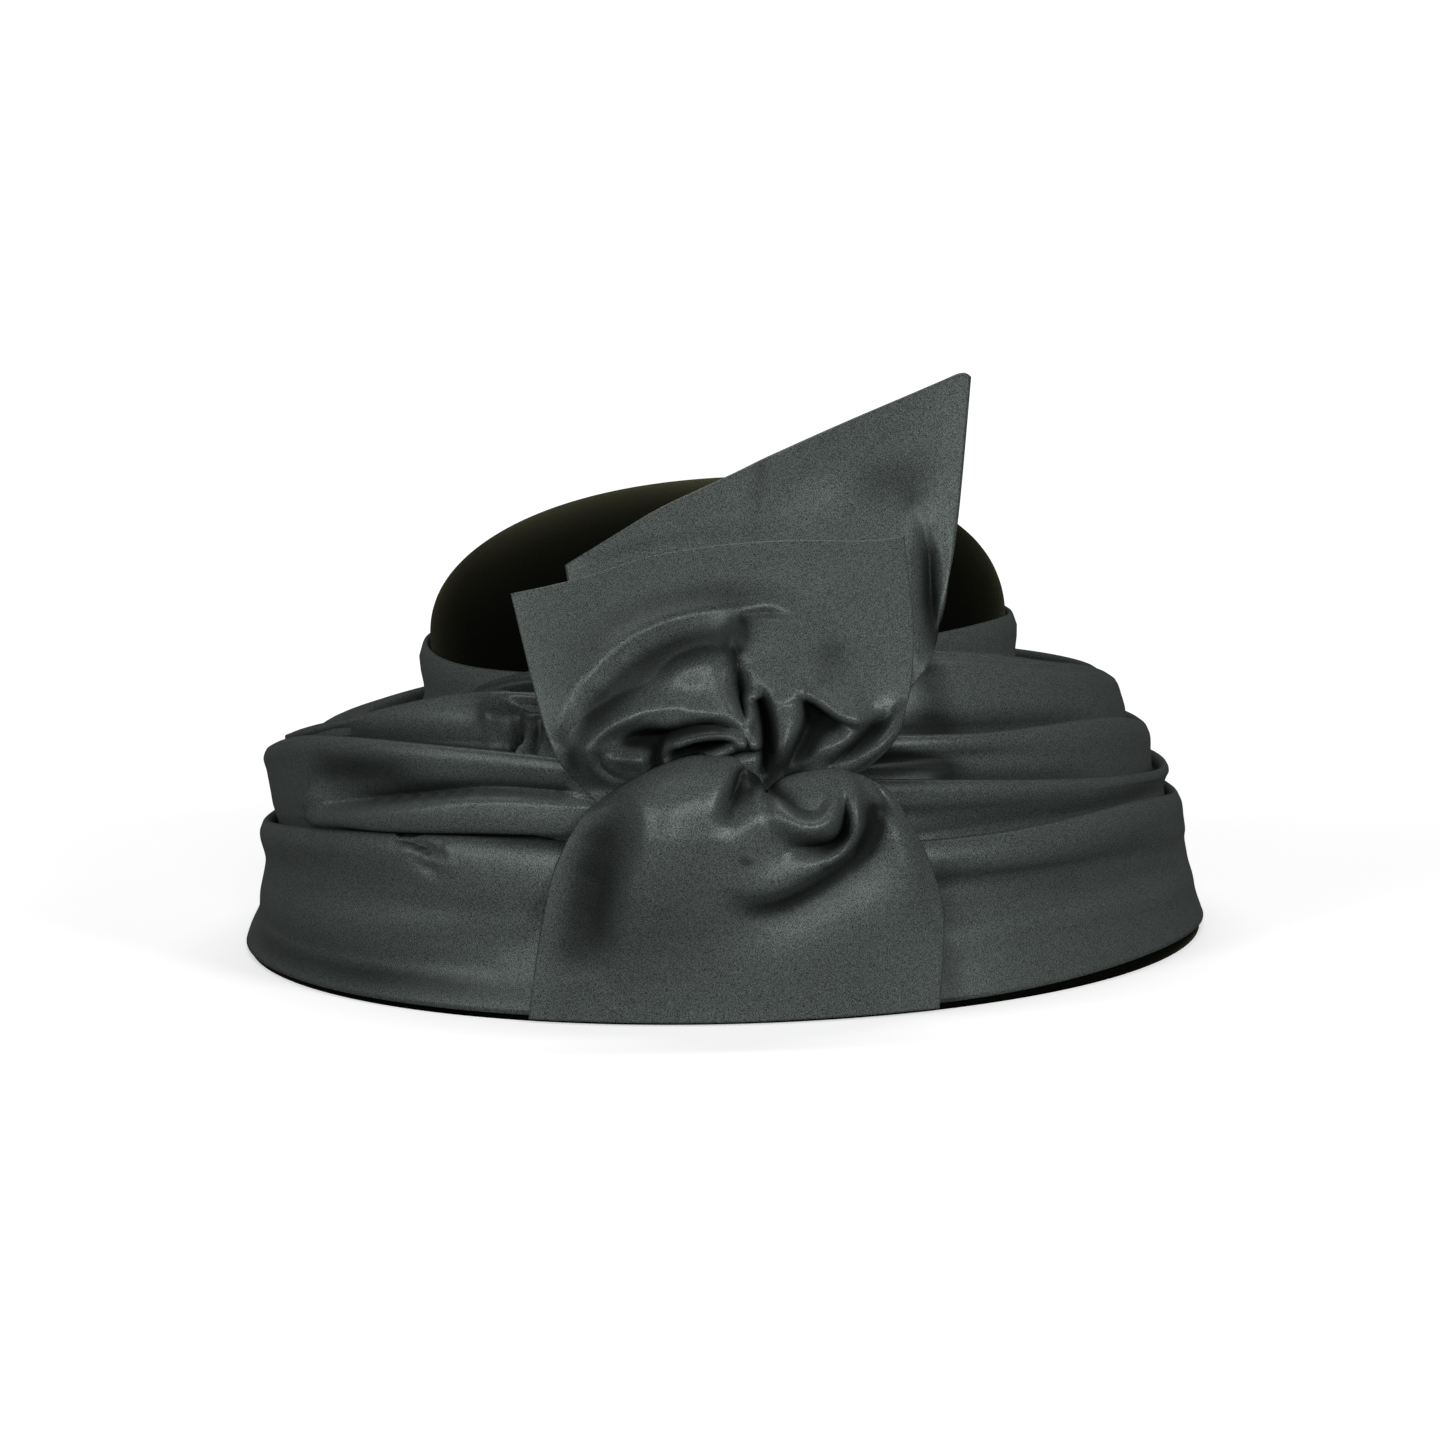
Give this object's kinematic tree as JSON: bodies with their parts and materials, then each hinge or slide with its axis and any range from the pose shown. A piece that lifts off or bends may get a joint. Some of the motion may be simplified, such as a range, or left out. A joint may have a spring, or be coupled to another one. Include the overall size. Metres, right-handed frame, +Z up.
{
  "type": "draped capeline hat",
  "caption": "Capeline hat: a domed velvet crown on a downturned bell brim, swathed in pleated satin that fans out of a front knot in tails.",
  "frame": {"origin": "on the surface the hat rests on, under the middle of its bounding box", "axes": "+Z up, the front of the hat with its knot faces -Y, +X is the viewer's right"},
  "size_m": [0.2836, 0.32, 0.1678],
  "materials": {
    "velvet": "black cut-pile velvet, matt with a faint grazing sheen",
    "satin": "dark grey-green duchesse satin, soft broad highlights"
  },
  "bodies": {
    "root": {"crown": "velvet", "brim": "velvet", "swathe": "satin", "tall_tail": "satin", "upper_tail": "satin", "lower_tail": "satin"}
  },
  "joints": []
}
